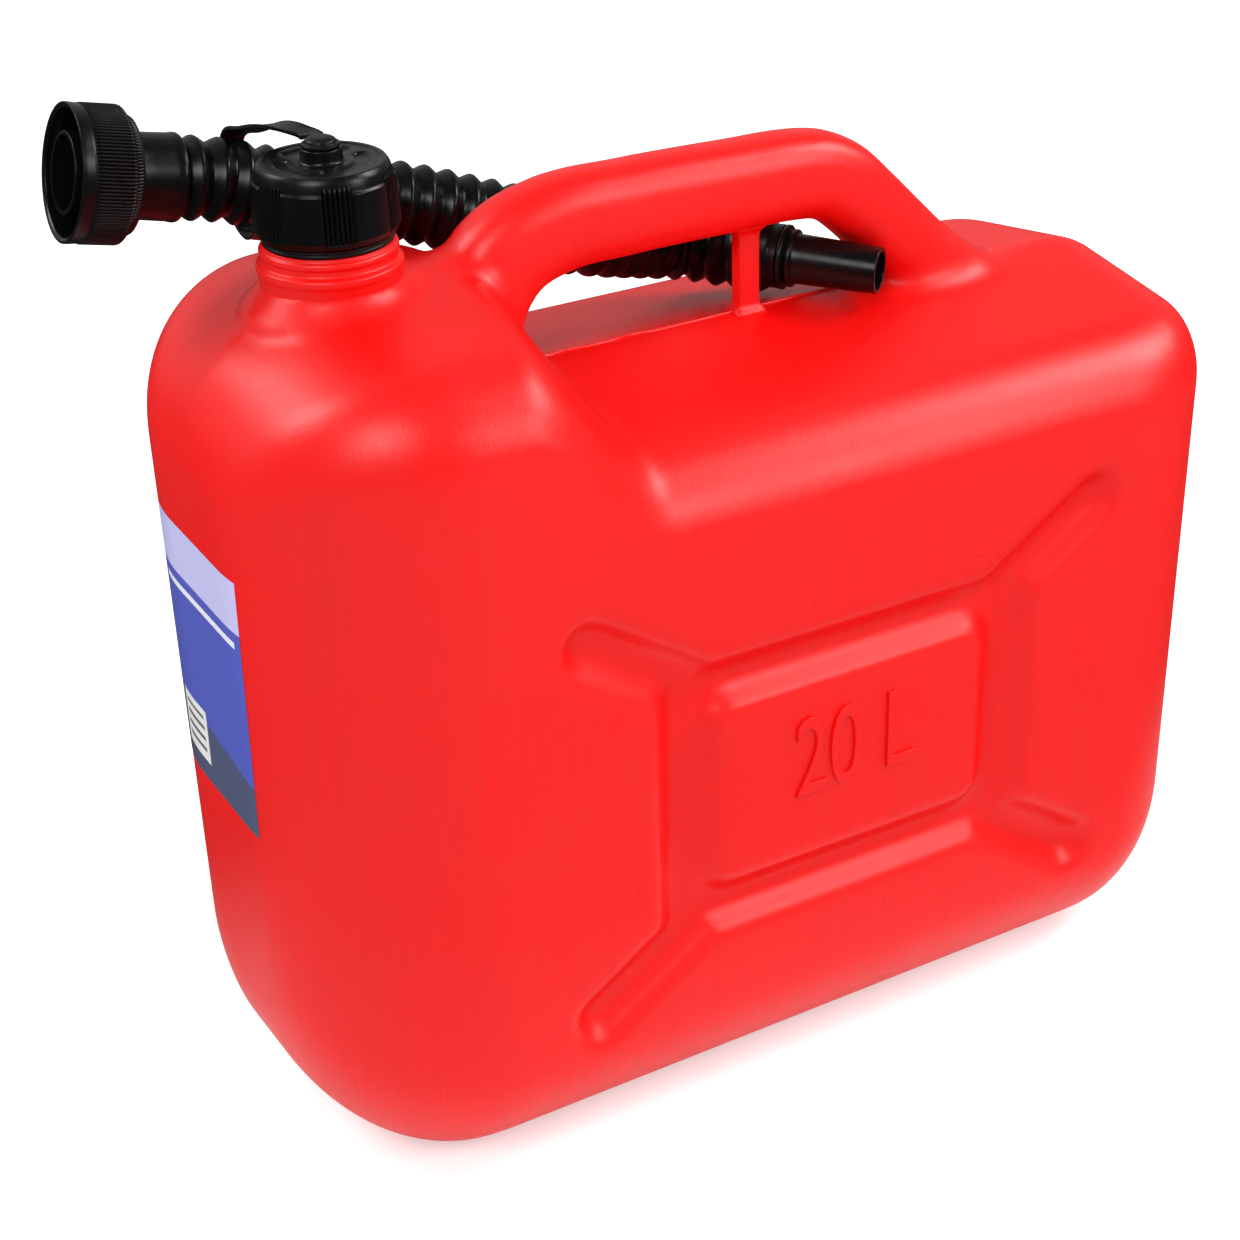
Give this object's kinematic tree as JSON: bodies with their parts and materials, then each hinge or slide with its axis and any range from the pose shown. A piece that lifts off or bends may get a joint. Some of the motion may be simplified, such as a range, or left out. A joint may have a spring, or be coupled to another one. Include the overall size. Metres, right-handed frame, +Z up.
{
  "type": "jerrycan",
  "caption": "Ribbed plastic fuel can with a carrying handle, a screw cap on a tether and a stored flexible pouring spout.",
  "frame": {"origin": "middle of the flat base, on the surface that the can stands on", "axes": "+Z up; +X along the can from the neck end to the rear end; +Y across the can, towards the side where the spout's hose lies"},
  "size_m": [0.4413, 0.1966, 0.409],
  "materials": {
    "red_polyethylene": "satin, blow-moulded, faint vertical streaks",
    "black_polyethylene": "semi-gloss, injection-moulded",
    "soft_black_polyethylene": "satin, flexible",
    "gasket_foam": "matt foam",
    "paper_label": "printed film, satin"
  },
  "bodies": {
    "can": {"can_body": "red_polyethylene", "tether_ring": "soft_black_polyethylene", "tether_strap": "soft_black_polyethylene"},
    "tether_top": {"tether_button": "soft_black_polyethylene"},
    "cap": {"cap_shell": "black_polyethylene", "cap_seal": "gasket_foam"},
    "spout": {"spout_hose": "black_polyethylene", "spout_nozzle": "black_polyethylene", "spout_seal": "gasket_foam"},
    "nut": {"spout_nut": "black_polyethylene"}
  },
  "joints": [
    {"name": "cap_lift", "type": "slide", "parent": "can", "child": "tether_top", "axis": [0, 0, 1], "range_m": [0, 0.06], "deforming": ["tether_strap"]},
    {"name": "cap_turn", "type": "hinge", "parent": "tether_top", "child": "cap", "pos_m": [-0.1498, 0, 0.39], "axis": [0, 0, 1], "continuous": true},
    {"name": "spout_pull", "type": "slide", "parent": "can", "child": "spout", "axis": [-0.6, 0.8, 0], "range_m": [0, 0.13]},
    {"name": "nut_turn", "type": "hinge", "parent": "spout", "child": "nut", "pos_m": [-0.2245, 0.0555, 0.3847], "axis": [0.9779, -0.0444, -0.2045], "continuous": true}
  ]
}
